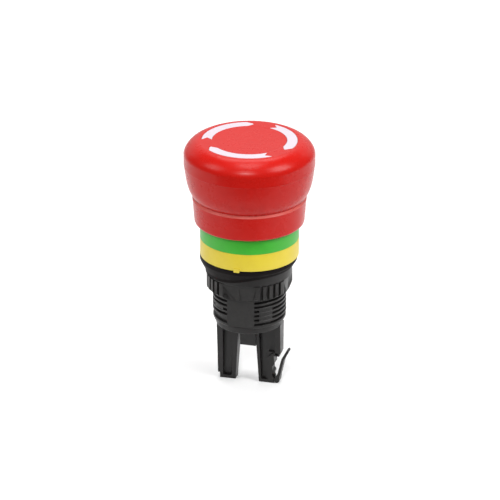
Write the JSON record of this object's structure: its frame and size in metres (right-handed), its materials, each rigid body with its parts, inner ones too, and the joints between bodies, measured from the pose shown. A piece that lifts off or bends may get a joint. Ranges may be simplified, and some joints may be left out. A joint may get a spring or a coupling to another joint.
{
  "type": "emergency stop button",
  "caption": "Panel mounted emergency stop push button: mushroom head with twist release, indicator ring, threaded barrel with ring nut, and a contact fork with a snap arm.",
  "frame": {"origin": "on the button's axis, in the plane where the gasket seats on the front of the panel", "axes": "+Z along the axis towards the operator, -Y towards the collar's lug, +X towards the snap arm"},
  "size_m": [0.039, 0.039, 0.0777],
  "materials": {
    "red_plastic": "satin moulded",
    "white_plastic": "inlaid, satin",
    "green_plastic": "satin moulded",
    "yellow_plastic": "satin moulded",
    "black_rubber": "moulded, matt",
    "black_plastic": "moulded, glass filled",
    "grey_plastic": "moulded",
    "ivory_plastic": "turned acetal",
    "steel": "zinc plated",
    "brass": "turned"
  },
  "bodies": {
    "housing": {"barrel": "black_plastic", "collar": "yellow_plastic", "indicator_ring": "green_plastic", "panel_gasket": "black_rubber", "latch_ring": "brass", "stem_seal": "black_rubber", "guide_bush": "ivory_plastic", "fork": "black_plastic", "hub_seal": "black_rubber", "return_spring": "steel"},
    "plunger": {"plunger": "grey_plastic", "friction_washer": "ivory_plastic", "stem_clip": "steel", "pusher": "black_plastic", "pusher_pin": "steel", "pawl_springs": "steel"},
    "head": {"mushroom_cap": "red_plastic", "arrow_inlays": "white_plastic", "cap_core": "grey_plastic", "core_screw": "steel", "release_shaft": "grey_plastic", "torsion_spring": "steel"},
    "pawl_left": {"pawl_left": "brass"},
    "pawl_right": {"pawl_right": "brass"},
    "washer": {"lock_washer": "black_plastic"},
    "nut": {"ring_nut": "black_plastic"},
    "latch": {"latch_arm": "black_plastic"}
  },
  "joints": [
    {"name": "press", "type": "slide", "parent": "housing", "child": "plunger", "axis": [0, 0, -1], "range_m": [0, 0.0055], "stiffness_N_per_m": 1500, "springref_m": -0.003, "deforming": ["return_spring"]},
    {"name": "twist_release", "type": "hinge", "parent": "plunger", "child": "head", "pos_m": [0, 0, 0.029], "axis": [0, 0, -1], "range_deg": [0, 35], "stiffness_Nm_per_rad": 0.05, "springref_deg": -11.46, "deforming": ["torsion_spring"]},
    {"name": "pawl_left_slide", "type": "slide", "parent": "plunger", "child": "pawl_left", "axis": [-1, 0, 0], "range_m": [0, 0.00115], "deforming": ["pawl_springs"]},
    {"name": "pawl_right_slide", "type": "slide", "parent": "plunger", "child": "pawl_right", "axis": [1, 0, 0], "range_m": [0, 0.00115]},
    {"name": "washer_travel", "type": "slide", "parent": "housing", "child": "washer", "axis": [0, 0, -1], "range_m": [0, 0.0057]},
    {"name": "nut_turn", "type": "hinge", "parent": "washer", "child": "nut", "pos_m": [0, 0, -0.0055], "axis": [0, 0, -1], "range_deg": [0, 1440]},
    {"name": "latch_flex", "type": "hinge", "parent": "housing", "child": "latch", "pos_m": [0.00875, 0, -0.03775], "axis": [0, -1, 0], "range_deg": [0, 6], "stiffness_Nm_per_rad": 0.01}
  ],
  "couplings": [
    {"joint": "pawl_left_slide", "follows": "press", "ratio": 0.2},
    {"joint": "pawl_right_slide", "follows": "press", "ratio": 0.2},
    {"joint": "washer_travel", "follows": "nut_turn", "m_per_rad": 0.00022282}
  ]
}
